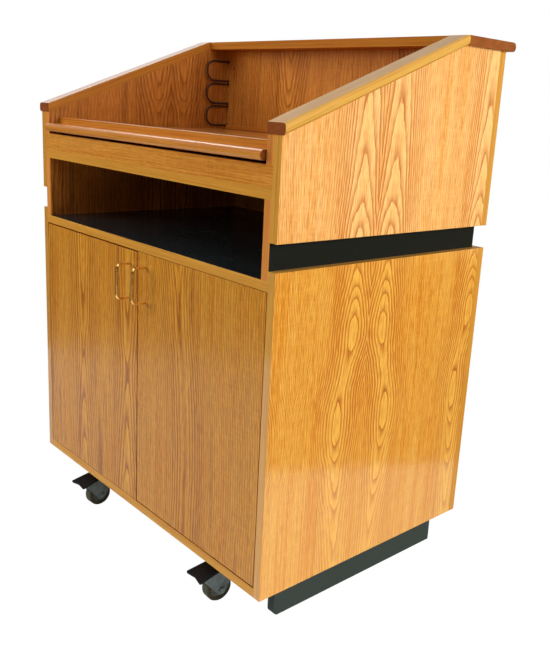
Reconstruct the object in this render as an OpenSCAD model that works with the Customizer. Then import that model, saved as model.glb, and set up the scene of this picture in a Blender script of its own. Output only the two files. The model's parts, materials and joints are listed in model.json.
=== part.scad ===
// Rolling host station: a sloped-top wood lectern cabinet on four braked casters.
// The origin lies on the floor, midway between the sides and between front and back.
// +X is to the right of someone who faces the doors, +Y runs to the back and +Z is up.

/* [Cabinet] */
// Width over the outer side panels
cab_w = 896; // [760:2:1100]
// Depth from the front plane to the outer back panel
cab_d = 608; // [560:2:720]
// Thickness of every wood panel
panel_t = 19; // [16:1:22]
// Height of the cabinet's underside above the floor
base_h = 110; // [106:1:130]
// Height by which the lower outer panels stand above the fixed shelf
reveal_rise = 18; // [8:1:40]
// Height of the black reveal between lower and upper outer panels
reveal_h = 50; // [20:1:70]
// Depth of the chase between the inner wall and the carcass back
chase_d = 27; // [15:1:60]
// Thickness of black laminate
laminate_t = 1; // [0.6:0.1:2]

/* [Front] */
// Height of the doors
door_h = 582; // [560:1:600]
// Gap round the doors
door_gap = 2; // [1.5:0.5:3]
// Height by which the right door hangs above its middle place, and the left one below
door_lift = 1; // [0:0.1:1.2]
// Height of the open compartment
open_h = 141; // [110:1:170]
// Height of the fascia under the worktop
fascia_h = 39; // [25:1:60]
// Slot between the fascia and the worktop
slot_h = 6; // [4:1:12]

/* [Sloped top] */
// Height of the side panels at the front above the worktop's face
front_rise = 26; // [20:1:60]
// Rise of the side panels from the front to the level top
slope_rise = 184; // [120:1:260]
// Depth of the level top, from the slope's end to the back
level_d = 139.5; // [110:0.5:180]
// Overhang of the caps past the outer side panels
cap_side_over = 9; // [6:1:16]
// Overhang of the side caps past the front plane
cap_front_over = 1; // [0:1:8]
// Overhang of the back cap past the outer back panel
cap_back_over = 21; // [14:1:40]
// Radius on the outer edges of the side caps
cap_edge_r = 6; // [3:0.5:8]

/* [Worktop] */
// Clearance between the worktop's ends and the cabinet's inner faces
worktop_gap = 2.5; // [1:0.5:5]
// Projection of the worktop's rounded nose past the front plane
nose_over = 12.5; // [10:0.5:30]
// Height of the lip that stands on the worktop
lip_h = 15; // [8:1:30]
// Thickness of the lip
lip_t = 18; // [12:1:25]
// Distance from the front plane back to the lip's front face
lip_set = 24.5; // [14:0.5:60]
// Radius on the lip's top edges and ends
lip_r = 7; // [3:0.5:7]
// Height and thickness of the trim strip on the inner wall
trim_h = 11; // [6:1:25]
trim_t = 7; // [4:1:12]
// Thickness and width of the runner strips that carry the worktop
runner_t = 6; // [4:0.5:8]
runner_w = 8; // [6:0.5:12]
// Running clearance of the worktop on its runners
runner_gap = 0.3; // [0.2:0.1:0.6]

/* [Pulls and cable rings] */
// Distance between the legs of a door pull
pull_pitch = 76; // [64:1:128]
// Projection of a door pull
pull_reach = 35; // [24:1:42]
// Diameter of a door pull's rod
pull_d = 6; // [5:0.5:9]
// Distance from the cabinet's middle to each pull
pull_x = 32; // [20:1:60]
// Distance from a door's top edge down to the middle of its pull
pull_drop = 67.5; // [60:0.5:120]
// Height over a cable ring
ring_h = 57; // [40:1:58]
// Projection of a cable ring from the inner wall
ring_reach = 75; // [50:1:90]
// Diameter of a cable ring's rod
ring_d = 5.5; // [4:0.5:7]
// Distance between neighbouring cable rings
ring_pitch = 60; // [59:0.5:66]
// Distance from the inner left face to the rings' plane
ring_x = 13; // [11:1:22]
// Height of the lowest ring's middle above the worktop's face
ring_rise = 35.5; // [33:0.5:60]
// Diameter of the wire hole in the inner wall
wire_hole_d = 6; // [4:0.5:12]
// Distance of the wire hole from the inner left face
wire_hole_x = 37; // [30:1:80]
// Height of the wire hole above the worktop's face
wire_hole_rise = 164; // [120:1:180]

/* [Hinges and inner shelf] */
// Diameter and depth of a hinge cup
cup_d = 35; // [26:1:40]
cup_depth = 12; // [10:0.5:13]
// Distance from a door's outer edge to the cup's middle
cup_inset = 21.5; // [20:0.5:24]
// Distance from a door's top and bottom edges to the hinges
hinge_end = 100; // [80:5:160]
// Height of the adjustable shelf's underside above the bottom panel
shelf_rise = 280; // [150:10:400]
// Diameter of a shelf pin
pin_d = 5; // [4:0.5:7]

/* [Kick panels] */
// Height of the kick panels
kick_h = 67; // [40:1:80]
// Distance from the front plane to the kick panels
kick_set = 56; // [40:1:120]
// Distance from the outer back to the kick panels
kick_back_set = 65; // [40:1:120]
// Radius on the kick panels' lower front corners
kick_r = 12; // [4:1:20]

/* [Casters] */
// Diameter of the wheels
wheel_d = 60; // [54:1:62]
// Width of the tyres
wheel_w = 24; // [18:1:24]
// Distance from the swivel's axis to the wheel's axle
trail = 25; // [22:1:28]
// Distance of the swivels from the cabinet's middle
caster_x = 261; // [200:1:290]
// Distance of the front swivels from the front plane
caster_front_set = 66; // [45:1:120]
// Distance of the rear swivels from the outer back
caster_back_set = 78; // [75:1:120]
// Angles by which the front casters point to the cabinet's left of straight ahead
left_heading = -4; // [-180:0.5:180]
right_heading = 3.5; // [-180:0.5:180]
// Angle by which the rear casters do
rear_heading = -14; // [-180:0.5:180]
// Width of the brake pedals
pedal_w = 56; // [48:1:64]
// Thickness and width of the wood blocks over the casters
block_t = 12; // [9:1:14]
block_w = 76; // [66:1:84]

/* [Hidden] */
$fn = 48;
eps = 0.01;

// Heights above the floor
bottom_top = base_h + panel_t;
door_z = bottom_top + door_gap;
shelf_z = door_z + door_h + door_gap;
shelf_top = shelf_z + panel_t;
open_top = shelf_top + open_h;
deck_top = open_top + panel_t;
fascia_top = deck_top + fascia_h;
worktop_z = fascia_top + slot_h;
worktop_top = worktop_z + panel_t;
front_top = worktop_top + front_rise;
back_top = front_top + slope_rise;
reveal_z = shelf_top + reveal_rise;
reveal_top = reveal_z + reveal_h;

// Half widths and depths
out_x = cab_w / 2;
side_x = out_x - panel_t;
in_x = side_x - panel_t;
cap_x = out_x + cap_side_over;
front_y = -cab_d / 2;
band_y = front_y + panel_t;
back_y = cab_d / 2;
clad_back_y = back_y - panel_t;
carcass_back_y = clad_back_y - panel_t;
slope_y = back_y - level_d;
slope_a = atan(slope_rise / (slope_y - front_y));
wall_back_y = carcass_back_y - chase_d;
wall_y = wall_back_y - panel_t;

// Worktop
worktop_x = in_x - worktop_gap;
nose_r = panel_t / 2;
worktop_back_y = wall_y - worktop_gap;
runner_front = 24;
groove_stop = 2;
runner_mid = worktop_z + panel_t / 2;
trim_lift = 1;
trim_r = min(trim_t, trim_h) / 2 - 0.5;

// Doors and hinges
door_edge = side_x - door_gap;
meet_gap = 1.5;
fit = 0.05;
hinge_zs = [door_z + hinge_end, door_z + door_h - hinge_end];
cup_x = door_edge - cup_inset;
flange_t = 1.2;
flange_w = 18;
flange_len = 58;
arm_gap = 0.8;
arm_w = 15;
arm_t = 12;
arm_len = 60;
arm_stand = 3;
arm_r = 3;
plate_len = 46;
plate_h = 54;
plate_bar = 12;

// Inner shelf
inner_shelf_z = bottom_top + shelf_rise;
shelf_gap = 2;
shelf_set = 22;
pin_len = 10;
pin_root = 1;
pin_inset = 60;
spoon_w = 10;
spoon_h = 7;
pin_ys = [band_y + pin_inset, carcass_back_y - pin_inset];

// Cable rings
ring_in = 10;
ring_legs = ring_h - ring_d;
ring_bend = min(24, ring_legs / 2 - 1);
collar_t = 2;
collar_d = min(8, ring_pitch - ring_legs - 0.5);
notch_gap = 0.3;
ring_plane = -in_x + ring_x;
ring_names = ["lower", "middle", "upper"];

// Pulls
pull_bend = 9;
pull_z = door_z + door_h - pull_drop;

// Casters: heights above the floor, and places along the heading from the swivel's axis
play = 0.3;
plate_w = 62;
plate_t = 3;
plate_r = 7;
bolt_at = 22;
bolt_d = 5;
bolt_in = block_t - 1;
bolt_head_d = 10;
bolt_head_h = 2.5;
race_d = 46;
race_h = 5;
race_step = 2;
block_z = base_h - block_t;
plate_z = block_z - plate_t;
race_z = plate_z - race_h;
crown_t = 6.7;
crown_z = race_z - play - crown_t;
crown_plate_t = 3.5;
crown_front = 25;
crown_back = 20;
kingpin_d = 9;
kingpin_head_d = 15;
kingpin_head_h = 3;
leg_in = wheel_w / 2 + 5;
leg_t = 2.5;
leg_out = leg_in + leg_t;
wheel_r = wheel_d / 2;
axle_d = 8;
axle_head_d = 14;
axle_head_h = 5;
axle_boss_r = 11.5;
hub_r = 10;
tread_h = 8.5;
web_in = 3;
tyre_r = 3.5;
pivot = [trail + 36.5, wheel_r + 34];
lug_r = 6;
lug_drop = 9;
pivot_d = 6;
pivot_head_d = 10;
pivot_head_h = 2;
ear_t = 2.6;
ear_out = leg_in - 0.4;
ear_in = ear_out - ear_t;
ear_r = 6.5;
pedal_t = 3.5;
pedal_r = 4;
pedal_taper = 4;
pedal_tip = [trail + 59, wheel_r + 38.5];
pedal_tail = [trail + 11, wheel_r + 49];
pedal_rise = pedal_tail - pedal_tip;
bar_at = pivot - [7.2, 15.2];
bar_r = 2.5;

SIDES = [["left", -1], ["right", 1]];
CORNERS = [
    ["front_left", -caster_x, front_y + caster_front_set, left_heading],
    ["front_right", caster_x, front_y + caster_front_set, right_heading],
    ["rear_left", -caster_x, back_y - caster_back_set, rear_heading],
    ["rear_right", caster_x, back_y - caster_back_set, rear_heading]
];
CASTER_PIECES = ["plate", "fork", "axle", "wheel", "pedal"];

oak = [0.80, 0.56, 0.27];
oak_edge = [0.72, 0.52, 0.22];
oak_dark = [0.52, 0.32, 0.15];
black = [0.10, 0.10, 0.10];
brass = [0.80, 0.62, 0.25];
zinc = [0.55, 0.57, 0.58];
rubber = [0.20, 0.20, 0.19];

// A box from one corner to the opposite one
module box(a, b) {
    translate(a) cube([b[0] - a[0], b[1] - a[1], b[2] - a[2]]);
}

// A profile drawn in depth and height, extruded over the width from x0 to x1
module across(x0, x1) {
    translate([x0, 0, 0]) rotate([90, 0, 90]) linear_extrude(x1 - x0) children();
}

// Pieces are drawn on the right side; the left one is the same piece mirrored
module on_side(s) {
    if (s < 0)
        mirror([1, 0, 0]) children();
    else
        children();
}

// What hangs on a door: the right door hangs a little high and the left one a little low
module on_door(s) {
    translate([0, 0, s * door_lift]) on_side(s) children();
}

// The piece as drawn on the right side, and its mirror image
module on_both_sides() {
    for (s = [-1, 1]) on_side(s) children();
}

// A rectangle with chosen corners rounded: lower left, lower right, upper right, upper left
module rounded_rect(a, b, r, corners = [1, 1, 1, 1]) {
    w = b[0] - a[0];
    h = b[1] - a[1];
    spots = [[a[0] + r, a[1] + r], [b[0] - r, a[1] + r], [b[0] - r, b[1] - r], [a[0] + r, b[1] - r]];
    if (w > 2 * r)
        translate([a[0] + r, a[1]]) square([w - 2 * r, h]);
    if (h > 2 * r)
        translate([a[0], a[1] + r]) square([w, h - 2 * r]);
    for (i = [0:3]) {
        if (corners[i] == 1)
            translate(spots[i]) circle(r);
        else
            translate(spots[i] - [r, r]) square(2 * r);
    }
}

// A rod bent to a U: both legs start on the plane y = 0 and reach towards -Y
module bent_rod(span, reach, d, bend) {
    leg = reach - d / 2 - bend;
    for (k = [-1, 1]) {
        translate([0, 0, k * span / 2]) rotate([90, 0, 0]) cylinder(h = leg, d = d);
        translate([0, -leg, k * (span / 2 - bend)])
            rotate([0, 90, 0])
            rotate([0, 0, k > 0 ? 180 : 270])
            rotate_extrude(angle = 90) translate([bend, 0]) circle(d = d);
    }
    translate([0, -(leg + bend), -(span / 2 - bend)]) cylinder(h = span - 2 * bend, d = d);
}

// Height of the side panels' sloped edge at depth y
function slope_z(y) = front_top + (y - front_y) * tan(slope_a);

module carcass_side(s) {
    color(oak_edge) on_side(s) difference() {
        across(in_x, side_x) polygon([
            [band_y, base_h],
            [band_y, bottom_top],
            [band_y + door_gap, bottom_top],
            [band_y + door_gap, shelf_z],
            [band_y, shelf_z],
            [band_y, shelf_top],
            [front_y, shelf_top],
            [front_y, open_top],
            [band_y, open_top],
            [band_y, fascia_top],
            [front_y, fascia_top],
            [front_y, front_top],
            [slope_y, back_top],
            [carcass_back_y, back_top],
            [carcass_back_y, base_h]
        ]);
        for (y = pin_ys)
            translate([in_x - eps, y, inner_shelf_z - spoon_h / 2])
                rotate([0, 90, 0]) cylinder(h = pin_len + 1, d = pin_d + 2 * fit);
    }
}

module carcass_back() {
    color(oak_edge) box([-side_x, carcass_back_y, base_h], [side_x, clad_back_y, back_top]);
}

// A level panel between the carcass sides with its front band run over their edges
module banded_panel(z) {
    box([-in_x, band_y - eps, z], [in_x, carcass_back_y, z + panel_t]);
    box([-side_x, front_y, z], [side_x, band_y, z + panel_t]);
}

module bottom_panel() {
    color(oak_edge) banded_panel(base_h);
}

module fixed_shelf() {
    color(oak_edge) banded_panel(shelf_z);
}

module shelf_laminate() {
    color(black) box([-in_x, front_y, shelf_top], [in_x, carcass_back_y, shelf_top + laminate_t]);
}

module compartment_top() {
    color(oak_edge) banded_panel(open_top);
}

module fascia() {
    color(oak) box([-side_x, front_y, deck_top], [side_x, band_y, fascia_top]);
}

// The middle of each cable ring, at the inner wall's face
module at_rings() {
    for (i = [0:len(ring_names) - 1])
        translate([ring_plane, wall_y, worktop_top + ring_rise + i * ring_pitch]) children();
}

// The inner wall, bored for the cable rings' legs and for a wire
module inner_back() {
    color(oak_dark) difference() {
        box([-in_x, wall_y, deck_top], [in_x, wall_back_y, back_top]);
        at_rings() for (k = [-1, 1]) translate([0, ring_in + fit, k * ring_legs / 2])
            rotate([90, 0, 0]) cylinder(h = ring_in + 1, d = ring_d + 2 * fit);
        translate([-in_x + wire_hole_x, wall_back_y + 1, worktop_top + wire_hole_rise])
            rotate([90, 0, 0]) cylinder(h = panel_t + 2, d = wire_hole_d);
    }
}

module side_panel_lower(s) {
    color(oak) on_side(s) box([side_x, front_y, base_h], [out_x, clad_back_y, reveal_z]);
}

module side_panel_upper(s) {
    color(oak) on_side(s) across(side_x, out_x) polygon([
        [front_y, reveal_top],
        [front_y, front_top],
        [slope_y, back_top],
        [clad_back_y, back_top],
        [clad_back_y, reveal_top]
    ]);
}

module back_panel(z0, z1) {
    color(oak) box([-out_x, clad_back_y, z0], [out_x, back_y, z1]);
}

// Black laminate that wraps round the sides and the back between the outer panels
module reveal_strip() {
    color(black) difference() {
        box([-side_x - laminate_t, front_y, reveal_z],
            [side_x + laminate_t, clad_back_y + laminate_t, reveal_top]);
        box([-side_x, front_y - 1, reveal_z - 1], [side_x, clad_back_y, reveal_top + 1]);
    }
}

// The sloped board on a side: plumb ends, rounded outer edges, planed flush with the back cap
module side_cap(s) {
    front_end = front_y - cap_front_over;
    thick = panel_t / cos(slope_a);
    top = back_top + panel_t;
    planed_y = slope_y - (thick - panel_t) / tan(slope_a);
    length = (slope_y - front_y) / cos(slope_a) + 2 * panel_t;
    color(oak_edge) on_side(s) intersection() {
        across(in_x - panel_t, cap_x + panel_t) polygon([
            [front_end, slope_z(front_end)],
            [slope_y, back_top],
            [slope_y, top],
            [planed_y, top],
            [front_end, slope_z(front_end) + thick]
        ]);
        translate([0, front_y, front_top]) rotate([slope_a - 90, 0, 0])
            translate([0, 0, -panel_t]) linear_extrude(length)
            mirror([0, 1]) rounded_rect([in_x, 0], [cap_x, panel_t], cap_edge_r, [0, 1, 1, 0]);
    }
}

// The level board over the back, with a half-round rear edge
module back_cap() {
    color(oak_edge) across(-cap_x, cap_x) {
        translate([slope_y, back_top]) square([level_d + cap_back_over - nose_r, panel_t]);
        translate([back_y + cap_back_over - nose_r, back_top + nose_r]) circle(nose_r);
    }
}

// The pull-out board: half-round nose, a stopped groove in each end for the runner
module worktop() {
    nose_y = front_y - nose_over + nose_r;
    groove_h = runner_t + 2 * runner_gap;
    groove_x = in_x - runner_w - runner_gap;
    groove_y = front_y + runner_front - groove_stop;
    color(oak) difference() {
        across(-worktop_x, worktop_x) {
            translate([nose_y, worktop_z]) square([worktop_back_y - nose_y, panel_t]);
            translate([nose_y, worktop_z + nose_r]) circle(nose_r);
        }
        on_both_sides() box([groove_x, groove_y, runner_mid - groove_h / 2],
                            [worktop_x + 1, worktop_back_y + 1, runner_mid + groove_h / 2]);
    }
}

module worktop_lip() {
    y0 = front_y + lip_set;
    r = min(lip_r, lip_h / 2 - 0.25, lip_t / 2 - 0.25);
    color(oak) intersection() {
        across(-worktop_x, worktop_x)
            rounded_rect([y0, worktop_top], [y0 + lip_t, worktop_top + lip_h], r, [0, 0, 1, 1]);
        translate([0, y0 + lip_t + 1, 0]) rotate([90, 0, 0]) linear_extrude(lip_t + 2)
            rounded_rect([-worktop_x, worktop_top], [worktop_x, worktop_top + lip_h], r, [0, 0, 1, 1]);
    }
}

module worktop_runners() {
    color(oak_dark) on_both_sides()
        box([in_x - runner_w, front_y + runner_front, runner_mid - runner_t / 2],
            [in_x, worktop_back_y, runner_mid + runner_t / 2]);
}

// The strip on the inner wall over the worktop's rear edge, notched for the lowest cable ring
module back_trim() {
    z0 = worktop_top + trim_lift;
    notch_r = collar_d / 2 + notch_gap;
    rod_z = worktop_top + ring_rise - ring_legs / 2;
    color(oak_edge) difference() {
        across(-in_x, in_x)
            rounded_rect([wall_y - trim_t, z0], [wall_y, z0 + trim_h], trim_r, [0, 0, 0, 1]);
        translate([ring_plane, wall_y + 1, rod_z]) rotate([90, 0, 0]) {
            cylinder(h = trim_t + 2, r = notch_r);
            translate([-notch_r, 0, 0]) cube([2 * notch_r, trim_h, trim_t + 2]);
        }
    }
}

module adjustable_shelf() {
    color(oak_dark) box([-in_x + shelf_gap, band_y + shelf_set, inner_shelf_z],
                        [in_x - shelf_gap, carcass_back_y - shelf_gap, inner_shelf_z + panel_t]);
}

module shelf_pins() {
    color(zinc) on_both_sides() for (y = pin_ys) {
        translate([in_x - pin_root, y, inner_shelf_z - spoon_h / 2])
            rotate([0, 90, 0]) cylinder(h = pin_len + pin_root, d = pin_d);
        box([in_x - spoon_w, y - spoon_w / 2, inner_shelf_z - spoon_h],
            [in_x, y + spoon_w / 2, inner_shelf_z]);
    }
}

module kick(s) {
    color(black) on_side(s) across(in_x, side_x)
        rounded_rect([front_y + kick_set, base_h - kick_h], [back_y - kick_back_set, base_h],
                     kick_r, [1, 0, 0, 0]);
}

module door(s) {
    color(oak) on_door(s) difference() {
        box([meet_gap, front_y, door_z], [door_edge, band_y, door_z + door_h]);
        for (z = hinge_zs)
            translate([cup_x, band_y - cup_depth - 2 * fit, z])
                rotate([-90, 0, 0]) cylinder(h = cup_depth + 1, d = cup_d + 2 * fit);
    }
}

module pull(s) {
    color(brass) on_door(s) translate([pull_x, front_y, pull_z])
        bent_rod(pull_pitch, pull_reach, pull_d, pull_bend);
}

// Cups let into the door's back, each with its screwed flange and open well
module hinge_cups(s) {
    wall = 1.5;
    color(zinc) on_door(s) for (z = hinge_zs) translate([cup_x, 0, z]) difference() {
        union() {
            translate([0, band_y - cup_depth, 0])
                rotate([-90, 0, 0]) cylinder(h = cup_depth + flange_t, d = cup_d);
            translate([0, band_y + flange_t, 0]) rotate([90, 0, 0]) linear_extrude(flange_t)
                rounded_rect([-flange_w / 2, -flange_len / 2], [flange_w / 2, flange_len / 2],
                             flange_w / 2 - 1);
        }
        translate([0, band_y - cup_depth + wall, 0])
            rotate([-90, 0, 0]) cylinder(h = cup_depth + flange_t, d = cup_d - 2 * wall);
    }
}

// Mounting plates on the carcass side, each with the arm that reaches to its cup
module hinge_arms(s) {
    tip_y = band_y + flange_t + arm_gap;
    plate_y = tip_y + arm_len - plate_len;
    color(zinc) on_side(s) for (z = hinge_zs) translate([0, 0, z]) {
        box([in_x - arm_stand, plate_y, -plate_bar / 2],
            [in_x, plate_y + plate_len, plate_bar / 2]);
        box([in_x - arm_stand, plate_y + plate_len / 2 - plate_bar / 2, -plate_h / 2],
            [in_x, plate_y + plate_len / 2 + plate_bar / 2, plate_h / 2]);
        across(in_x - arm_stand - arm_t, in_x - arm_stand + eps)
            rounded_rect([tip_y, -arm_w / 2], [tip_y + arm_len, arm_w / 2], arm_r);
    }
}

// A cable ring: a rod bent to a D whose legs go into the inner wall, each through a collar
module cable_ring(i) {
    z = worktop_top + ring_rise + i * ring_pitch;
    color(black) translate([ring_plane, wall_y, z]) {
        bent_rod(ring_legs, ring_reach, ring_d, ring_bend);
        for (k = [-1, 1]) translate([0, 0, k * ring_legs / 2]) rotate([90, 0, 0]) {
            cylinder(h = collar_t, d = collar_d);
            translate([0, 0, -ring_in]) cylinder(h = ring_in + collar_t, d = ring_d);
        }
    }
}

// Puts a piece that is square to the cabinet at a caster's corner
module at_corner(c) {
    translate([c[1], c[2], 0]) children();
}

// Puts a swivelling piece, drawn with its heading along +X, at its corner
module at_swivel(c) {
    at_corner(c) rotate([0, 0, -90 - c[3]]) children();
}

// A piece of a fork or pedal as drawn on the +Y flank of its wheel, and its mirror image
module on_both_flanks() {
    children();
    mirror([0, 1, 0]) children();
}

// A flat profile drawn along the heading and up, given a thickness from y0 to y1
module upright(y0, y1) {
    translate([0, y1, 0]) rotate([90, 0, 0]) linear_extrude(y1 - y0) children();
}

// Top plate with the upper race and the riveted kingpin
module caster_plate() {
    color(zinc) {
        translate([0, 0, plate_z]) linear_extrude(plate_t) difference() {
            rounded_rect([-plate_w / 2, -plate_w / 2], [plate_w / 2, plate_w / 2], plate_r);
            for (x = [-1, 1]) for (y = [-1, 1])
                translate([x * bolt_at, y * bolt_at]) circle(d = bolt_d + 2 * fit);
        }
        translate([0, 0, race_z]) cylinder(h = plate_z - race_z + eps, d = race_d);
        translate([0, 0, crown_z - play - kingpin_head_h]) {
            cylinder(h = kingpin_head_h, d = kingpin_head_d);
            cylinder(h = race_z - crown_z + play + kingpin_head_h + eps, d = kingpin_d);
        }
    }
}

// The four screw places of every caster, at its plate's underside
module at_screws() {
    for (c = CORNERS) at_corner(c) for (x = [-1, 1]) for (y = [-1, 1])
        translate([x * bolt_at, y * bolt_at, plate_z]) children();
}

module caster_screws() {
    color(zinc) at_screws() {
        translate([0, 0, -bolt_head_h]) cylinder(h = bolt_head_h, d = bolt_head_d);
        translate([0, 0, -bolt_head_h / 2])
            cylinder(h = bolt_head_h / 2 + plate_t + bolt_in, d = bolt_d);
    }
}

// Wood blocks between the bottom panel and the casters' plates
module caster_blocks() {
    color(oak_dark) difference() {
        for (c = CORNERS) at_corner(c)
            translate([-block_w / 2, -block_w / 2, block_z]) cube([block_w, block_w, block_t]);
        at_screws() translate([0, 0, plate_t - 1])
            cylinder(h = bolt_in + 1 + fit, d = bolt_d + 2 * fit);
    }
}

// One leg's outline: wide under the crown, a lug for the pedal in front, a boss at the axle
module leg_outline() {
    top = crown_z + 1;
    boss_side = 0.9 * axle_boss_r;
    boss_low = wheel_r - axle_boss_r / 2;
    polygon([
        [-crown_back, top],
        [crown_front, top],
        [crown_front, pivot[1] + lug_drop],
        pivot + [0, lug_r],
        pivot + [lug_r * 0.6, -lug_r * 0.8],
        [trail + boss_side, boss_low],
        [trail - boss_side, boss_low]
    ]);
    translate(pivot) circle(lug_r);
    translate([trail, wheel_r]) circle(axle_boss_r);
}

// Swivelling fork: crown with the lower race, two legs, and rivets through them for the pedal
module caster_fork() {
    color(zinc) difference() {
        union() {
            translate([0, 0, crown_z]) cylinder(h = crown_t, d = race_d - 2 * race_step);
            translate([0, 0, crown_z]) linear_extrude(crown_plate_t) {
                circle(d = race_d);
                translate([-crown_back, -leg_out]) square([crown_back + crown_front, 2 * leg_out]);
            }
            on_both_flanks() {
                upright(leg_in, leg_out) leg_outline();
                translate([pivot[0], ear_in - play, pivot[1]]) rotate([-90, 0, 0]) {
                    cylinder(h = leg_out - ear_in + play, d = pivot_d);
                    translate([0, 0, leg_out - ear_in + play - eps])
                        cylinder(h = pivot_head_h, d = pivot_head_d);
                }
            }
        }
        translate([0, 0, crown_z - 1]) cylinder(h = crown_t + 2, d = kingpin_d + 2 * fit);
        translate([trail, -leg_out - 1, wheel_r])
            rotate([-90, 0, 0]) cylinder(h = 2 * leg_out + 2, d = axle_d + 2 * fit);
    }
}

// Axle bolt with a hexagon head and a nut
module caster_axle() {
    color(zinc) translate([trail, 0, wheel_r]) rotate([-90, 0, 0]) {
        translate([0, 0, -leg_out]) cylinder(h = 2 * leg_out, d = axle_d);
        translate([0, 0, leg_out]) cylinder(h = axle_head_h, d = axle_head_d, $fn = 6);
        translate([0, 0, -leg_out - axle_head_h]) cylinder(h = axle_head_h, d = axle_head_d, $fn = 6);
    }
}

// Wheel turned from one profile: hub, thin web and a tyre with rounded shoulders
module caster_wheel() {
    half = wheel_w / 2;
    color(rubber) translate([trail, 0, wheel_r]) rotate([-90, 0, 0]) rotate_extrude($fn = 96) {
        translate([axle_d / 2 + fit, -leg_in + play]) square([hub_r - axle_d / 2, 2 * (leg_in - play)]);
        translate([hub_r - 1, -half + web_in]) square([wheel_r - tread_h - hub_r + 2, wheel_w - 2 * web_in]);
        rounded_rect([wheel_r - tread_h, -half], [wheel_r, half], tyre_r, [0, 1, 1, 0]);
    }
}

// An ear's outline: round at the pivot and at the brake bar, and up into the wing
module ear_outline() {
    translate(pivot) circle(ear_r);
    translate(bar_at) circle(bar_r + 1);
    polygon([
        pivot + [ear_r, 0],
        bar_at + [bar_r, 0],
        bar_at - [bar_r, 0],
        pivot - [ear_r, 0],
        pedal_tip + 0.8 * pedal_rise,
        pedal_tip + 0.25 * pedal_rise
    ]);
}

// Brake pedal: a wide wing over the wheel, two ears inside the fork's legs and a brake bar
module caster_pedal() {
    tilt = atan2(pedal_rise[1], -pedal_rise[0]);
    length = norm(pedal_rise);
    half = pedal_w / 2;
    color(black) difference() {
        union() {
            translate([pedal_tip[0], 0, pedal_tip[1]]) rotate([0, tilt + 180, 0])
                translate([0, 0, -pedal_t / 2]) linear_extrude(pedal_t) {
                    polygon([
                        [0, pedal_r - half],
                        [pedal_r, 0],
                        [0, half - pedal_r],
                        [pedal_r, half],
                        [length, half - pedal_taper],
                        [length, pedal_taper - half],
                        [pedal_r, -half]
                    ]);
                    for (k = [-1, 1]) translate([pedal_r, k * (half - pedal_r)]) circle(pedal_r);
                }
            on_both_flanks() upright(ear_in, ear_out) ear_outline();
            translate([bar_at[0], -ear_in - eps, bar_at[1]])
                rotate([-90, 0, 0]) cylinder(h = 2 * (ear_in + eps), r = bar_r);
        }
        translate([pivot[0], -leg_out, pivot[1]])
            rotate([-90, 0, 0]) cylinder(h = 2 * leg_out, d = pivot_d + 2 * fit);
    }
}

carcass_back();
bottom_panel();
fixed_shelf();
shelf_laminate();
compartment_top();
fascia();
inner_back();
back_panel(base_h, reveal_z);  // back_panel_lower
back_panel(reveal_top, back_top);  // back_panel_upper
reveal_strip();
back_cap();
worktop_runners();
back_trim();
adjustable_shelf();
shelf_pins();
worktop();
worktop_lip();
caster_blocks();
caster_screws();

for (s = SIDES) {
    carcass_side(s[1]);
    side_panel_lower(s[1]);
    side_panel_upper(s[1]);
    side_cap(s[1]);
    kick(s[1]);
    door(s[1]);
    pull(s[1]);
    hinge_cups(s[1]);
    hinge_arms(s[1]);
}

for (i = [0:len(ring_names) - 1])
    cable_ring(i);

for (c = CORNERS) {
    at_corner(c) caster_plate();
    at_swivel(c) caster_fork();
    at_swivel(c) caster_axle();
    at_swivel(c) caster_wheel();
    at_swivel(c) caster_pedal();
}
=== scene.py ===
"""Looks of the rolling host station: lacquered oak veneer, black laminate, brass and casters."""

import json
import math

import bpy
from mathutils import Matrix, Vector


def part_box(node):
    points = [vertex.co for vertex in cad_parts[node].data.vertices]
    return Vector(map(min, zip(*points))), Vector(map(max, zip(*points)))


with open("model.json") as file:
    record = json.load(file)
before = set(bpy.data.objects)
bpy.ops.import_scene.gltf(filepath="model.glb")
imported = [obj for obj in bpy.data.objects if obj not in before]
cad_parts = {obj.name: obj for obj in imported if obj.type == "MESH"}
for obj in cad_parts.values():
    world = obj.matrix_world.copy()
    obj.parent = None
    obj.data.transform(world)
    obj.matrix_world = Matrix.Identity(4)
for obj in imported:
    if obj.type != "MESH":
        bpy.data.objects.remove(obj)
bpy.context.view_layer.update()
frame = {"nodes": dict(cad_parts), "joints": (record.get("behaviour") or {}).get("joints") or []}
nodes = frame["nodes"]

X, Y, Z = 0, 1, 2
SIDES = ("left", "right")
CORNERS = ("front_left", "front_right", "rear_left", "rear_right")
TIERS = ("lower", "upper")
RING_LEVELS = ("lower", "middle", "upper")

# Camera: the photograph's viewpoint, found from the cabinet's edges, in metres
CAMERA_AT = Vector((1.4445, -1.1697, 1.0301))
CAMERA_RIGHT = Vector((0.67567, 0.73485, 0.05892))
CAMERA_UP = Vector((-0.22121, 0.12586, 0.96707))
PHOTO_SIZE = (550, 649)
FOCAL_PX = 787.23
PRINCIPAL_PX = (306.77, 309.11)
SENSOR_MM = 36.0


def tone(red, green, blue):
    """A colour given as it shows on screen, 0 to 255, as linear values."""
    def linear(value):
        value /= 255.0
        return value / 12.92 if value <= 0.04045 else ((value + 0.055) / 1.055) ** 2.4
    return (linear(red), linear(green), linear(blue))


def scaled(parts, factor):
    """Each part of a colour or a span, times a factor."""
    return tuple(factor * part for part in parts)


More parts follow.
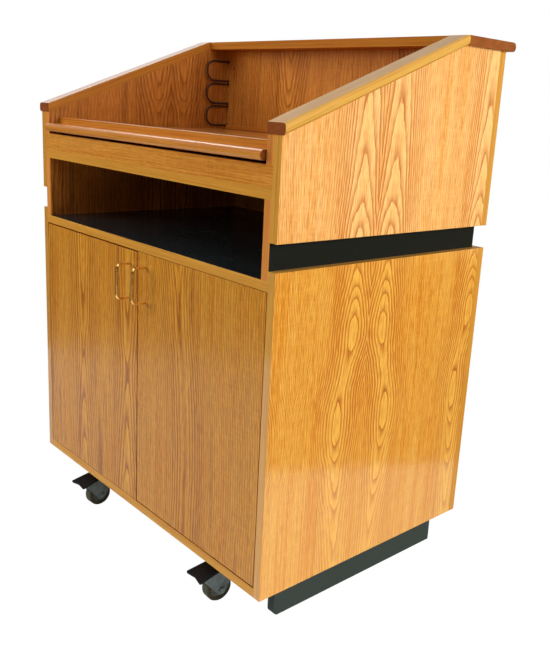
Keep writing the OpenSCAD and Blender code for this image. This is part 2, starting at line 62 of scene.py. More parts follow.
# Oak, each from light to dark
SIDE_TONES = (tone(232, 178, 76), tone(208, 132, 22), tone(166, 78, 2))
UPPER_TONES = (tone(243, 191, 122), tone(214, 138, 36), tone(164, 76, 4))
DOOR_TONES = (tone(217, 158, 52), tone(193, 122, 20), tone(126, 54, 4))
# The doors' edges, darker and redder than the other bands: painted shade of the gaps round the closed
# doors, where these edges show
DOOR_EDGE_GAP_SHADE_TONES = (tone(176, 98, 38), tone(146, 74, 24), tone(98, 44, 12))
FASCIA_TONES = (tone(218, 152, 60), tone(184, 112, 32), tone(122, 58, 16))
NOSE_TONES = (tone(208, 138, 48), tone(172, 98, 24), tone(112, 50, 12))
TOP_TONES = (tone(240, 164, 84), tone(222, 134, 58), tone(156, 82, 32))
WALL_TONES = (tone(208, 130, 50), tone(166, 92, 30), tone(86, 37, 10))
INNER_BACK_TONES = (tone(220, 146, 60), tone(178, 104, 38), tone(94, 38, 12))
BAND_TONES = (tone(216, 160, 66), tone(184, 124, 40), tone(134, 70, 20))
CARCASS_EDGE_TONES = (tone(216, 144, 68), tone(184, 108, 42), tone(122, 58, 20))
CAP_TONES = (tone(212, 162, 66), tone(184, 128, 44), tone(128, 76, 22))
BACK_CAP_TONES = (tone(196, 126, 38), tone(160, 94, 24), tone(108, 54, 10))
# Dark end grain, also used as painted shade on edges that show only in shade, such as the cable hole
# through the inner back
END_GRAIN_AND_SHADE_TONES = (tone(146, 78, 28), tone(120, 56, 16), tone(74, 30, 8))

# The reveal's black laminate, darker than the kick panels' laminate of the same kind: painted shade of
# the recess under the upper panels
REVEAL_BLACK_AND_SHADE = tone(18, 20, 18)
SHELF = tone(26, 34, 36)
KICK = tone(43, 52, 50)
PEDAL = tone(20, 20, 20)
FORK = tone(128, 144, 146)
HINGE_ZINC = tone(150, 154, 154)
TREAD = tone(72, 72, 54)
RIM = tone(104, 106, 100)
WIRE = tone(56, 34, 24)
GOLD = tone(255, 224, 140)
GOLD_WORN = tone(214, 166, 84)
WHITE = (1.0, 1.0, 1.0)

# The caps' thickness at their highest, where the side caps meet the back cap
CAP_THICKNESS = 0.019

# Axes of a veneered board: across its faces, along its grain and across the grain
ON_SIDE = (X, Z, Y)
ON_FRONT = (Y, Z, X)
ON_FASCIA = (Y, X, Z)
LYING = (Z, X, Y)

# A surface faces along an axis where its normal's part along it is larger than this
FACING = 0.7

# Noises over a veneer: cycles a metre across and along the grain, seed's shift, detail, roughness
SWAY = (14.0, 5.0, 0.0, 2.0, 0.5)
RIPPLE = (120.0, 16.0, 2.0, 3.0, 0.5)
BUNDLES = (60.0, 1.5, 4.0, 2.0, 0.5)
PORES = (1400.0, 42.0, 0.0, 1.0, 0.5)
STREAKS = (240.0, 2.4, 3.0, 4.0, 0.62)
WIDE_STREAKS = (34.0, 2.2, 5.0, 2.0, 0.5)
DASHES = (640.0, 34.0, 7.0, 2.0, 0.5)
CURL = (26.0, 170.0, 6.0, 2.0, 0.5)

# Where in its noise each feature begins to show, and where it shows in full
WIDE_DARK = (0.56, 0.74)
STREAK_DARK = (0.50, 0.68)
DASH_DARK = (0.50, 0.64)
DASH_LIGHT = (0.50, 0.38)
CURL_LIGHT = (0.48, 0.66)
PORE_FROM = 0.53
PORE_GAIN = 5.0

# How much of its tone each feature adds, and how much the pores add in a ring's late wood
STREAK_SHARE = 0.42
DARK_DASH_SHARE = 0.42
LIGHT_DASH_SHARE = 0.56
CURL_SHARE = 0.12
PORE_SHARE = 0.34
PORE_SHARE_IN_RING = 0.3

# The fine streaks' share in the wood's first tone, beside the wide ones, and how strong a bundle of
# rings is, as (its noise, strength)
FINE_SHARE = 0.75
BUNDLE_STRENGTHS = [(0.30, 0.55), (0.55, 1.0)]

# Distances from a heart: where its arcs turn into limbs, where the straight lines grow dense, and how
# softly both begin
LIMB_AT = 0.005
LINES_AT = 0.042
BEND = 0.004

# Spans of the distance from a heart over which rings blur, pale wood turns streaked, lines grow faint
# and the curl comes in
BLUR_SPAN = (0.004, 0.036)
PALE_SPAN = (0.015, 0.055)
FAINT_SPAN = (0.045, 0.085)
CURL_SPAN = (0.06, 0.11)

# A ring's late wood: how steeply it darkens at the heart and away from it, how sharply it ends, and
# how strong it is
HEART_POWER = 3.2
LINE_POWER = 1.6
END_POWER = 40.0
LATE_GAIN = 1.35

# The share of a cut's lines that comes on top past LINES_AT, the rings that a ripple moves a line by,
# and spare rings that keep every count above zero
OUTER_SHARE = 0.5
RIPPLE_RINGS = 0.45
SPARE_RINGS = 400.0

# Straight grain: cycles a metre along and across it, and how much coarser its broad tones and finer
# its pores are
STRAIGHT_ALONG = 2.4
STRAIGHT_ACROSS = 240.0
STRAIGHT_BROAD = 0.14
STRAIGHT_PORES = 5.0

# Straight grain's fine share, where its lines and pores show, how steep and strong they are, and
# their shares of the dark tone
STRAIGHT_FINE_SHARE = 0.7
STRAIGHT_LINE = (0.46, 0.72)
STRAIGHT_POWER = 1.5
STRAIGHT_PORE_FROM = 0.56
STRAIGHT_PORE_GAIN = 6.0
STRAIGHT_LINE_SHARE = 0.52
STRAIGHT_PORE_SHARE = 0.36

# How deep rings and pores lie in the lacquer's surface, over a veneer and over straight grain
VENEER_DEPTH = -0.5
STRAIGHT_DEPTH = -0.4

# Share of a wheel's radius over which the hub gives way to the tyre
TYRE_SPAN = (0.70, 0.74)

# The Mix node's sockets for each kind of value: its two inputs and its output
MIX_SOCKETS = {"FLOAT": (2, 3, 0), "VECTOR": (4, 5, 1), "RGBA": (6, 7, 2)}


class Cut:
    """How a board's veneer was cut: its mirrored leaves, and the growth rings that they show.

    rings are counted over the board's length, as (place, rings), and heart is the heart's place in
    a leaf. heart, spread and strength are numbers, or change over the length as (place, value).
    """
    fold = 0.0        # where two leaves meet
    leaf = 0.2        # width of a leaf
    spread = 0.012    # distance from the heart where the limbs close up
    limbs = 50.0      # rings a metre near the heart
    lines = 40.0      # further rings a metre past the spread
    wander = 2.0      # rings by which the grain sways
    streaks = 0.3     # weight of wide dark streaks
    strength = 0.6    # weight of the rings and dashes
    fade = 0.6        # share of their weight that lines lose away from the heart
    pale = 0.3        # share of light wood beside the heart

    def __init__(self, rings, heart, seed, **settings):
        self.rings = rings
        self.heart = heart
        self.seed = seed
        for name, value in settings.items():
            setattr(self, name, value)


class Graph:
    """A node tree, with short calls for the nodes that the finishes and the surround use."""

    def __init__(self, tree):
        self.tree = tree
        self.coords = tree.nodes.new("ShaderNodeTexCoord")
        self.point = self.coords.outputs["Object"]
        self.normal = self.coords.outputs["Normal"]

    def feed(self, socket, value):
        """Links value to the socket if it is an output, and sets it there otherwise."""
        if isinstance(value, bpy.types.NodeSocket):
            self.tree.links.new(value, socket)
        elif isinstance(value, tuple) and len(value) == 3 and socket.type == "RGBA":
            socket.default_value = (*value, 1.0)
        else:
            socket.default_value = value

    def node(self, kind, *values, **settings):
        """A new node, with its settings and its first inputs."""
        made = self.tree.nodes.new(kind)
        for name, value in settings.items():
            setattr(made, name, value)
        for socket, value in zip(made.inputs, values):
            self.feed(socket, value)
        return made

    def axis(self, index, source=None):
        """The part of a vector along an axis, of the place on the piece if no vector is given."""
        return self.node("ShaderNodeSeparateXYZ", source or self.point).outputs[index]

    def vector(self, x, y, z):
        return self.node("ShaderNodeCombineXYZ", x, y, z).outputs[0]

    def math(self, operation, a, b=0.0, c=0.0, clamp=False):
        """One step of arithmetic on up to three numbers."""
        return self.node("ShaderNodeMath", a, b, c, operation=operation, use_clamp=clamp).outputs[0]

    def add(self, *terms):
        total = terms[0]
        for term in terms[1:]:
            total = self.math("ADD", total, term)
        return total

    def times(self, *terms):
        total = terms[0]
        for term in terms[1:]:
            total = self.math("MULTIPLY", total, term)
        return total

    def minus(self, a, b):
        return self.math("SUBTRACT", a, b)

    def blend(self, share, a, b):
        """The share of a, and the rest of b."""
        return self.add(self.times(a, share), self.times(b, 1.0 - share))

    def over(self, value, start, gain):
        """How far value lies over start, times gain, and kept from 0 to 1."""
        return self.math("MULTIPLY", self.minus(value, start), gain, clamp=True)

    def step(self, value, low, high, bottom=0.0, top=1.0):
        """bottom before low, top past high and smooth between them, also where low is the larger."""
        return self.node("ShaderNodeMapRange", value, low, high, bottom, top,
                         interpolation_type="SMOOTHSTEP").outputs[0]

    def facing(self, index, normal=None):
        """1 where the surface faces along the axis, and 0 elsewhere."""
        part = self.math("ABSOLUTE", self.axis(index, normal or self.normal))
        return self.math("GREATER_THAN", part, FACING)

    def vectors(self, operation, a, b=(0.0, 0.0, 0.0)):
        """One step of arithmetic on vectors."""
        made = self.node("ShaderNodeVectorMath", a, b, operation=operation)
        return made.outputs["Value" if operation == "LENGTH" else 0]

    def turned(self, source, angle):
        """A vector turned about X, so that a sloped board's grain lies along Y."""
        made = self.node("ShaderNodeVectorRotate", source, rotation_type="X_AXIS")
        made.inputs["Angle"].default_value = angle
        return made.outputs[0]

    def noise(self, vector, scale=1.0, detail=2.0, rough=0.5):
        made = self.node("ShaderNodeTexNoise")
        self.feed(made.inputs["Vector"], vector)
        made.inputs["Scale"].default_value = scale
        made.inputs["Detail"].default_value = detail
        made.inputs["Roughness"].default_value = rough
        return made.outputs["Fac"]

    def pattern(self, kind, across, along, seed):
        """One of the veneer's noises, such as SWAY."""
        fast, slow, shift, detail, rough = kind
        place = self.vector(self.times(across, fast), self.times(along, slow), seed + shift)
        return self.noise(place, 1.0, detail, rough)

    def curve(self, value, points):
        """A smooth curve through points given as (place, height)."""
        low, high = points[0][0], points[-1][0]
        top = max(height for _, height in points)
        made = self.node("ShaderNodeFloatCurve")
        line = made.mapping.curves[0]
        while len(line.points) < len(points):
            line.points.new(0.5, 0.5)
        for spot, (place, height) in zip(line.points, points):
            spot.location = ((place - low) / (high - low), height / top)
            spot.handle_type = "AUTO_CLAMPED"
        made.mapping.update()
        share = self.math("DIVIDE", self.minus(value, low), high - low, clamp=True)
        self.feed(made.inputs["Value"], share)
        return self.times(made.outputs[0], top)

    def placed(self, place, value):
        """A setting that is a number, or changes over the board's length as (place, value)."""
        return self.curve(place, value) if isinstance(value, list) else value

    def ramp(self, factor, stops):
        """A colour or grey ramp: stops are (position, colour) or (position, grey)."""
        made = self.node("ShaderNodeValToRGB", factor)
        elements = made.color_ramp.elements
        while len(elements) < len(stops):
            elements.new(0.5)
        for element, (position, shade) in zip(elements, stops):
            element.position = position
            element.color = (*shade, 1.0) if isinstance(shade, tuple) else (shade, shade, shade, 1.0)
        return made.outputs[0]

    def mix(self, factor, a, b, kind="RGBA"):
        """a where factor is 0 and b where it is 1: colours, or another kind of value."""
        first, second, result = MIX_SOCKETS[kind]
        made = self.node("ShaderNodeMix", factor, data_type=kind)
        self.feed(made.inputs[first], a)
        self.feed(made.inputs[second], b)
        return made.outputs[result]

    def tint(self, colour, towards, noise, span, share):
        """The colour, mixed with a share of another where a noise lies past the span."""
        return self.mix(self.times(self.step(noise, *span), share), colour, towards)


class Finish(Graph):
    """A new material with a Principled shader."""

    def __init__(self, name):
        self.material = bpy.data.materials.new(name)
        self.material.use_nodes = True
        super().__init__(self.material.node_tree)
        self.shader = self.tree.nodes["Principled BSDF"]

    def set(self, **values):
        """Sets the shader's inputs, with underscores for the blanks in their names."""
        for name, value in values.items():
            self.feed(self.shader.inputs[name.replace("_", " ")], value)

    def roughen(self, noise, low, high):
        """Roughness that varies with a noise, which lies mostly between 0.3 and 0.7."""
        self.set(Roughness=self.ramp(noise, [(0.3, low), (0.7, high)]))

    def patchy(self, noise, span, share, colour, worn):
        """A colour that gives way to another, by up to the share, where a noise is high."""
        low, high = span
        return self.mix(self.ramp(noise, [(low, 0.0), (high, share)]), colour, worn)

    def bump(self, height, strength, distance):
        """Dents and rises in the surface: distance is in metres."""
        made = self.node("ShaderNodeBump")
        made.inputs["Strength"].default_value = strength
        made.inputs["Distance"].default_value = distance
        self.feed(made.inputs["Height"], height)
        self.set(Normal=made.outputs[0])


class Face:
    """The place on a board's face."""

    def __init__(self, g, along, across, cut):
        # Across the grain and along it
        self.u = g.axis(across)
        self.z = g.axis(along)
        # Across the leaf, each leaf being the mirror image of its neighbour, and off the leaf's heart
        self.leaf = g.math("PINGPONG", g.minus(self.u, cut.fold), cut.leaf)
        self.off = g.math("ABSOLUTE", g.minus(self.leaf, g.placed(self.z, cut.heart)))


def past(g, distance, start):
    """How far distance lies past start, with a soft bend at the start."""
    beyond = g.minus(distance, start)
    bend = g.math("SQRT", g.add(g.times(beyond, beyond), BEND * BEND))
    return g.times(g.add(beyond, bend), 0.5)


def ring_phase(g, face, cut):
    """How far through its growth ring a place lies, 0 to 1: arcs over the heart, then straight lines."""
    out = g.add(g.times(past(g, face.off, LIMB_AT), cut.limbs),
                g.times(past(g, face.off, g.placed(face.z, cut.spread)), cut.lines),
                g.times(past(g, face.off, LINES_AT), cut.lines * OUTER_SHARE))
    sway = g.minus(g.pattern(SWAY, face.u, face.z, cut.seed), 0.5)
    ripple = g.minus(g.pattern(RIPPLE, face.u, face.z, cut.seed), 0.5)
    count = g.add(g.minus(g.curve(face.z, cut.rings), out),
                  g.times(sway, cut.wander), g.times(ripple, RIPPLE_RINGS))
    return g.math("FRACT", g.add(count, SPARE_RINGS))


def late_wood(g, face, cut):
    """How dark the rings' late wood is, 0 to 1."""
    phase = ring_phase(g, face, cut)
    power = g.math("MULTIPLY_ADD", g.step(face.off, *BLUR_SPAN), LINE_POWER - HEART_POWER, HEART_POWER)
    late = g.times(g.math("POWER", phase, power), g.minus(1.0, g.math("POWER", phase, END_POWER)))
    late = g.math("MULTIPLY", late, LATE_GAIN, clamp=True)
    # Bundles of rings differ in strength, and the lines grow faint away from the heart
    bundle = g.ramp(g.pattern(BUNDLES, face.leaf, face.z, cut.seed), BUNDLE_STRENGTHS)
    faint = g.math("MULTIPLY_ADD", g.step(face.off, *FAINT_SPAN), -cut.fade, 1.0)
    return g.times(late, bundle, faint)


def early_wood(g, face, cut, tones, strength):
    """The colour between the rings: fine and wide streaks, a paler heart, and short dashes."""
    light, mid, dark = tones
    streak = g.pattern(STREAKS, face.u, face.z, cut.seed)
    wide = g.pattern(WIDE_STREAKS, face.u, face.z, cut.seed)
    dash = g.pattern(DASHES, face.u, face.z, cut.seed)
    beside = g.step(face.off, *PALE_SPAN)
    colour = g.ramp(g.blend(FINE_SHARE, streak, wide), [(0.42, mid), (0.58, light)])
    colour = g.mix(g.minus(cut.pale, g.times(beside, cut.pale)), colour, light)
    colour = g.tint(colour, dark, wide, WIDE_DARK, cut.streaks)
    colour = g.tint(colour, dark, streak, STREAK_DARK, g.times(beside, STREAK_SHARE))
    colour = g.tint(colour, dark, dash, DASH_DARK, g.times(strength, DARK_DASH_SHARE))
    return g.tint(colour, light, dash, DASH_LIGHT, g.times(strength, LIGHT_DASH_SHARE))


def veneer(g, along, across, cut, tones):
    """The face of a veneered board: its colour and the height of its pores."""
    light, _, dark = tones
    face = Face(g, along, across, cut)
    strength = g.placed(face.z, cut.strength)
    late = late_wood(g, face, cut)
    pore = g.over(g.pattern(PORES, face.u, face.z, cut.seed), PORE_FROM, PORE_GAIN)
    colour = early_wood(g, face, cut, tones, strength)
    colour = g.mix(g.times(late, strength), colour, dark)
    colour = g.mix(g.times(pore, g.add(g.times(late, PORE_SHARE_IN_RING), PORE_SHARE)), colour, dark)
    # Faint bands across the grain, well away from the heart
    curl = g.pattern(CURL, face.u, face.z, cut.seed)
    colour = g.tint(colour, light, curl, CURL_LIGHT, g.times(g.step(face.off, *CURL_SPAN), CURL_SHARE))
    return colour, g.times(g.add(late, pore), VENEER_DEPTH)


def straight(g, run, tones, seed):
    """Straight grain: run is a place with its parts already scaled along and across the grain."""
    light, mid, dark = tones
    shifted = g.vectors("ADD", run, (seed, seed, seed))
    streak = g.noise(shifted, detail=4.0, rough=0.62)
    broad = g.noise(shifted, scale=STRAIGHT_BROAD)
    pore = g.noise(shifted, scale=STRAIGHT_PORES, detail=1.0)
    pore = g.over(pore, STRAIGHT_PORE_FROM, STRAIGHT_PORE_GAIN)
    lines = g.math("POWER", g.step(streak, *STRAIGHT_LINE), STRAIGHT_POWER)
    colour = g.ramp(g.blend(STRAIGHT_FINE_SHARE, streak, broad), [(0.40, mid), (0.60, light)])
    colour = g.mix(g.times(lines, STRAIGHT_LINE_SHARE), colour, dark)
    colour = g.mix(g.times(pore, STRAIGHT_PORE_SHARE), colour, dark)
    return colour, g.times(g.add(lines, pore), STRAIGHT_DEPTH)


def grain_run(g, slow=None, point=None):
    """The place, scaled to run slowly along one axis, if one is given, and fast along the others."""
    scale = tuple(STRAIGHT_ALONG if index == slow else STRAIGHT_ACROSS for index in (X, Y, Z))
    return g.vectors("MULTIPLY", point or g.point, scale)


def lacquer(g, colour, height, rough=0.38, coat=0.25, gloss=0.12, index=1.5):
    """Clear satin lacquer over wood, a little uneven."""
    g.roughen(g.noise(g.point, scale=14.0, detail=3.0), rough, rough + 0.10)
    g.set(Base_Color=colour, Specular_IOR_Level=0.12)
    g.set(Coat_Weight=coat, Coat_Roughness=gloss, Coat_IOR=index)
    g.bump(height, strength=0.20, distance=0.0004)


def board(name, axes, cut, tones, bands=BAND_TONES, ends=None, **coating):
    """A veneered board: veneer on its two faces, and straight-grained bands on its edges."""
    across_faces, along, across = axes
    g = Finish(name)
    colour, height = veneer(g, along, across, cut, tones)
    is_end = g.facing(along)
    run = g.mix(is_end, grain_run(g, along), grain_run(g, across), "VECTOR")
    edge_colour, edge_height = straight(g, run, bands, cut.seed)
    if ends:
        end_colour, _ = straight(g, grain_run(g), ends, cut.seed)
        edge_colour = g.mix(is_end, edge_colour, end_colour)
    on_face = g.facing(across_faces)
    height = g.add(g.times(on_face, height), edge_height)
    lacquer(g, g.mix(on_face, edge_colour, colour), height, **coating)
    return g.material


def timber(name, along, tones, seed, slope=0.0, **coating):
    """Solid wood with straight grain along one axis, or along Y turned up by slope."""
    g = Finish(name)
    point = g.turned(g.point, -slope) if slope else g.point
    normal = g.turned(g.normal, -slope) if slope else g.normal
    colour, height = straight(g, grain_run(g, along, point), tones, seed)
    end_colour, _ = straight(g, grain_run(g, point=point), END_GRAIN_AND_SHADE_TONES, seed + 1.0)
    lacquer(g, g.mix(g.facing(along, normal), colour, end_colour), height, **coating)
    return g.material


def laminate(name, colour, rough, sheen=0.14):
    """Laminate: a fine grain and faint smears."""
    g = Finish(name)
    smear = g.noise(g.point, scale=9.0, detail=3.0)
    g.roughen(smear, rough, rough + 0.12)
    g.set(Base_Color=g.mix(g.times(smear, 0.6), colour, scaled(colour, 1.6)), Specular_IOR_Level=sheen)
    g.bump(g.noise(g.point, scale=900.0), strength=0.12, distance=0.0003)
    return g.material


def plated(name, colour, rough, metallic=0.75):
    """Zinc-plated steel with a cloudy, faintly scratched surface."""
    g = Finish(name)
    cloud = g.noise(g.point, scale=90.0, detail=4.0)
    scratch = g.noise(g.vectors("MULTIPLY", g.point, (900.0, 900.0, 60.0)))
    g.roughen(cloud, rough, rough + 0.16)
    g.set(Base_Color=g.patchy(cloud, (0.35, 0.70), 0.6, colour, scaled(colour, 0.55)), Metallic=metallic)
    g.bump(scratch, strength=0.15, distance=0.0002)
    return g.material


def polished_brass(name):
    """Polished brass that mirrors its surroundings, with patches dulled by hands."""
    g = Finish(name)
    cloud = g.noise(g.point, scale=70.0, detail=3.0)
    g.roughen(cloud, 0.10, 0.20)
    g.set(Base_Color=g.patchy(cloud, (0.40, 0.70), 1.0, GOLD, GOLD_WORN), Metallic=1.0)
    g.bump(g.noise(g.point, scale=500.0), strength=0.02, distance=0.0002)
    return g.material


def moulded(name, colour, rough):
    """Moulded plastic or powder coat with a fine pebbled skin and dusty patches."""
    g = Finish(name)
    dust = g.noise(g.point, scale=45.0, detail=4.0)
    g.roughen(dust, rough, rough + 0.15)
    g.set(Base_Color=g.patchy(dust, (0.45, 0.75), 0.5, colour, scaled(colour, 2.0)))
    g.set(Specular_IOR_Level=0.22)
    g.bump(g.noise(g.point, scale=700.0), strength=0.25, distance=0.0003)
    return g.material


def wheel(name, spin):
    """A rubber tyre on a grey hub, told apart by the distance from the axle."""
    g = Finish(name)
    # The wheel stands on the floor, so its axle's height is its radius
    radius = spin["pos_m"][Z]
    arm = g.vectors("SUBTRACT", g.point, tuple(spin["pos_m"]))
    reach = g.vectors("LENGTH", g.vectors("CROSS_PRODUCT", arm, tuple(spin["axis"])))
    tyre = g.step(reach, *scaled(TYRE_SPAN, radius))
    worn = g.noise(g.point, scale=160.0, detail=4.0)
    rubber = g.patchy(worn, (0.40, 0.70), 0.6, TREAD, scaled(TREAD, 0.6))
    g.roughen(worn, 0.45, 0.62)
    g.set(Base_Color=g.mix(tyre, RIM, rubber), Specular_IOR_Level=0.25)
    g.bump(worn, strength=0.2, distance=0.0004)
    return g.material


# Ring counts, hearts, spreads and strengths over the length of each kind of board, as (place, value)
SIDE_RINGS = [(0.10, 3.6), (0.15, 4.0), (0.24, 5.0), (0.277, 6.0), (0.35, 7.0), (0.385, 8.0),
              (0.43, 8.5), (0.475, 8.0), (0.515, 7.5), (0.575, 8.0), (0.615, 8.6), (0.650, 8.0),
              (0.685, 7.0), (0.71, 6.0), (0.745, 5.0), (0.823, 4.0), (0.870, 3.0), (0.950, 2.0),
              (1.072, 1.0), (1.19, 0.3)]
SIDE_HEARTS = [(0.10, 0.048), (0.30, 0.062), (0.43, 0.069), (0.54, 0.055), (0.63, 0.041), (0.75, 0.043),
               (1.19, 0.043)]
SIDE_SPREAD = [(0.10, 0.010), (0.60, 0.010), (0.74, 0.013), (0.81, 0.026), (1.19, 0.029)]
SIDE_STRENGTH = [(0.10, 0.42), (0.30, 0.62), (0.42, 0.80), (0.54, 0.92), (1.19, 0.92)]
LEFT_DOOR_RINGS = [(0.13, 3.9), (0.20, 3.0), (0.28, 2.2), (0.36, 1.5), (0.435, 0.95), (0.50, 1.6),
                   (0.60, 2.2), (0.72, 2.7)]
RIGHT_DOOR_RINGS = [(0.13, 0.94), (0.20, 0.84), (0.26, 0.95), (0.33, 0.86), (0.38, 0.96), (0.48, 0.86),
                    (0.56, 0.92), (0.66, 1.15), (0.72, 1.9)]
RIGHT_DOOR_HEARTS = [(0.13, 0.388), (0.26, 0.391), (0.38, 0.387), (0.50, 0.376), (0.60, 0.360),
                     (0.72, 0.350)]
WALL_RINGS = [(0.72, 0.2), (0.90, 0.5), (0.99, 1.0), (1.04, 2.1), (1.10, 3.0), (1.19, 4.4)]
PLAIN_RINGS = [(-0.60, 0.2), (-0.20, 1.2), (0.10, 0.6), (0.60, 2.0)]

SIDE_CUT = Cut(SIDE_RINGS, SIDE_HEARTS, seed=1.0, fold=-0.057, leaf=0.186, spread=SIDE_SPREAD,
               limbs=48.0, lines=80.0, wander=0.7, streaks=0.10, strength=SIDE_STRENGTH, pale=0.55)
BACK_CUT = Cut(SIDE_RINGS, heart=0.050, seed=11.0, fold=0.020, leaf=0.190, spread=SIDE_SPREAD,
               limbs=48.0, lines=80.0, wander=1.0, streaks=0.10, strength=0.80)
DOOR_CUTS = {
    "left": Cut(LEFT_DOOR_RINGS, heart=0.103, seed=21.0, fold=-0.145, leaf=0.103, spread=0.010,
                limbs=45.0, lines=45.0, wander=0.8, streaks=0.80, strength=0.76, fade=0.4, pale=0.0),
    "right": Cut(RIGHT_DOOR_RINGS, RIGHT_DOOR_HEARTS, seed=24.0, fold=-0.200, leaf=1.0, limbs=60.0,
                 lines=50.0, wander=0.2, streaks=0.50, strength=0.80, fade=0.4, pale=0.0),
}
WALL_CUT = Cut(WALL_RINGS, heart=0.040, seed=31.0, fold=0.040, wander=2.4, streaks=0.50, strength=0.65)
INNER_BACK_CUT = Cut(WALL_RINGS, heart=0.190, seed=37.0, fold=-0.330, leaf=0.400, lines=30.0,
                     wander=3.0, streaks=0.50)
LYING_CUT = Cut(PLAIN_RINGS, heart=0.160, seed=61.0, fold=-0.120, leaf=0.300, spread=0.020,
                limbs=60.0, lines=60.0)
FASCIA_CUT = Cut(PLAIN_RINGS, heart=0.900, seed=51.0, fold=0.400, leaf=2.0, spread=0.020,
                 limbs=60.0, lines=60.0, wander=2.4, strength=0.45)


def dress(material, *names):
    """Gives CAD nodes their finish."""
    for name in names:
        obj = nodes[name]
        if not obj.material_slots:
            obj.data.materials.append(material)
        for slot in obj.material_slots:
            slot.material = material


def each(stem, endings):
    """The names of a stem with each of its endings."""
    return [f"{stem}_{ending}" for ending in endings]


def cap_slope():
    """The slope of a side cap's underside, which ends a cap's thickness under the cap's top."""
    foot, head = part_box("side_cap_right")
    return math.atan2(head[Z] - CAP_THICKNESS - foot[Z], head[Y] - foot[Y])


def dress_panels():
    """The outer side and back panels, the black reveal between their tiers, darkened past the kick
    panels' laminate as painted shade of the recess, and the kick panels.
    """
    dress(board("oak_sides", ON_SIDE, SIDE_CUT, SIDE_TONES, coat=1.0, index=1.65),
          *each("side_panel_lower", SIDES))
    dress(board("oak_upper_sides", ON_SIDE, SIDE_CUT, UPPER_TONES, coat=1.0),
          *each("side_panel_upper", SIDES))
    dress(board("oak_back", ON_FRONT, BACK_CUT, SIDE_TONES), *each("back_panel", TIERS))
    # The reveal's darker black is painted shade of the recess between the tiers
    dress(laminate("black_laminate", REVEAL_BLACK_AND_SHADE, rough=0.5, sheen=0.06), "reveal_strip")
    dress(laminate("kick_laminate", KICK, rough=0.6), *each("kick", SIDES))


def dress_carcass():
    """The boards inside the panels, and the black laminate on the fixed shelf."""
    dress(board("oak_carcass", ON_SIDE, WALL_CUT, WALL_TONES, CARCASS_EDGE_TONES),
          *each("carcass_side", SIDES))
    # The inner walls' edges take the dark end tones: painted shade inside the cable hole bored through
    # the inner back
    dress(board("oak_inner_wall", ON_FRONT, INNER_BACK_CUT, INNER_BACK_TONES, END_GRAIN_AND_SHADE_TONES),
          "inner_back", "carcass_back")
    dress(board("oak_decks", LYING, LYING_CUT, WALL_TONES),
          "bottom_panel", "fixed_shelf", "compartment_top")
    dress(board("oak_inner_shelf", LYING, LYING_CUT, WALL_TONES), "adjustable_shelf", "caster_blocks")
    dress(board("oak_fascia", ON_FASCIA, FASCIA_CUT, FASCIA_TONES, CARCASS_EDGE_TONES), "fascia")
    dress(timber("oak_strips", X, WALL_TONES, seed=71.0), "back_trim")
    dress(laminate("shelf_laminate", SHELF, rough=0.18, sheen=0.4), "shelf_laminate")


def dress_caps():
    """The sloped side caps, of which the right one is paler, and the level back cap."""
    slope = cap_slope()
    dress(timber("oak_left_cap", Y, BACK_CAP_TONES, 86.0, slope, coat=0.8), "side_cap_left")
    dress(timber("oak_right_cap", Y, CAP_TONES, 81.0, slope, coat=0.8), "side_cap_right")
    dress(timber("oak_back_cap", X, BACK_CAP_TONES, seed=91.0, coat=0.05), "back_cap")


def dress_worktop():
    """The worktop, its lip and the runners that carry it."""
    dress(board("oak_worktop", LYING, LYING_CUT, TOP_TONES, NOSE_TONES, END_GRAIN_AND_SHADE_TONES,
                rough=0.32, coat=0.7, gloss=0.07), "worktop")
    dress(timber("oak_lip", X, NOSE_TONES, seed=66.0, coat=0.5), "worktop_lip")
    dress(timber("oak_runners", Y, WALL_TONES, seed=76.0), "worktop_runners")


def dress_doors():
    """The doors, each cut from its own veneer, and their brass pulls."""
    brass = polished_brass("brass")
    for side in SIDES:
        # The doors' edges carry painted shade of the gaps round them
        dress(board(f"oak_{side}_door", ON_FRONT, DOOR_CUTS[side], DOOR_TONES, DOOR_EDGE_GAP_SHADE_TONES,
                    rough=0.34, coat=0.6, gloss=0.22), f"door_{side}")
        dress(brass, f"pull_{side}")


def dress_fittings():
    """Hinges, shelf pins, caster screws and cable rings."""
    dress(plated("hinge_zinc", HINGE_ZINC, rough=0.32), "shelf_pins", "caster_screws",
          *each("hinge_cups", SIDES), *each("hinge_arms", SIDES))
    dress(moulded("wire_coat", WIRE, rough=0.4), *each("cable_ring", RING_LEVELS))


def dress_casters():
    """The casters' wheels, each about its own axle, their zinc and their pedals."""
    zinc = plated("fork_zinc", FORK, rough=0.42, metallic=0.45)
    plastic = moulded("pedal_plastic", PEDAL, rough=0.5)
    joints = {joint["name"]: joint for joint in frame["joints"]}
    for corner in CORNERS:
        dress(wheel(f"wheel_{corner}", joints[f"wheel_spin_{corner}"]), f"caster_wheel_{corner}")
        dress(zinc, *(f"caster_{piece}_{corner}" for piece in ("plate", "fork", "axle")))
        dress(plastic, f"caster_pedal_{corner}")


# The white sheet under the cabinet: the floor between two lines, as ((x, y) normal, distance)
SHEET_LEFT = ((0.725, 0.689), -1.69)
SHEET_RIGHT = ((0.882, 0.471), 1.007)
SHEET_EDGE = 0.01
SHEET_TONE = (0.85, 0.85, 0.84)
FLOOR_TONE = (0.10, 0.09, 0.08)
FLOOR_SIZE = 60.0

# Strength of the surround: for the room's soft light, and for what the lacquer mirrors low and high,
# with the directions' heights between which the one turns into the other
ROOM_LIGHT = 0.28
MIRRORED_LOW = 0.06
MIRRORED_HIGH = 0.55
MIRRORED_RISE = (0.05, 0.40)

# A pale wall low behind on the left and a window high on the left, which only lacquer and metal
# mirror: strength, and the spans of the direction over which each comes in, as (axis, start, end)
PALE_WALL = (0.70, [(X, -0.60, -0.80), (Y, 0.10, 0.30), (Z, 0.46, 0.36)])
WINDOW = (5.0, [(X, -0.68, -0.74), (Y, 0.10, 0.20), (Y, 0.40, 0.30), (Z, 0.44, 0.50), (Z, 0.68, 0.62)])


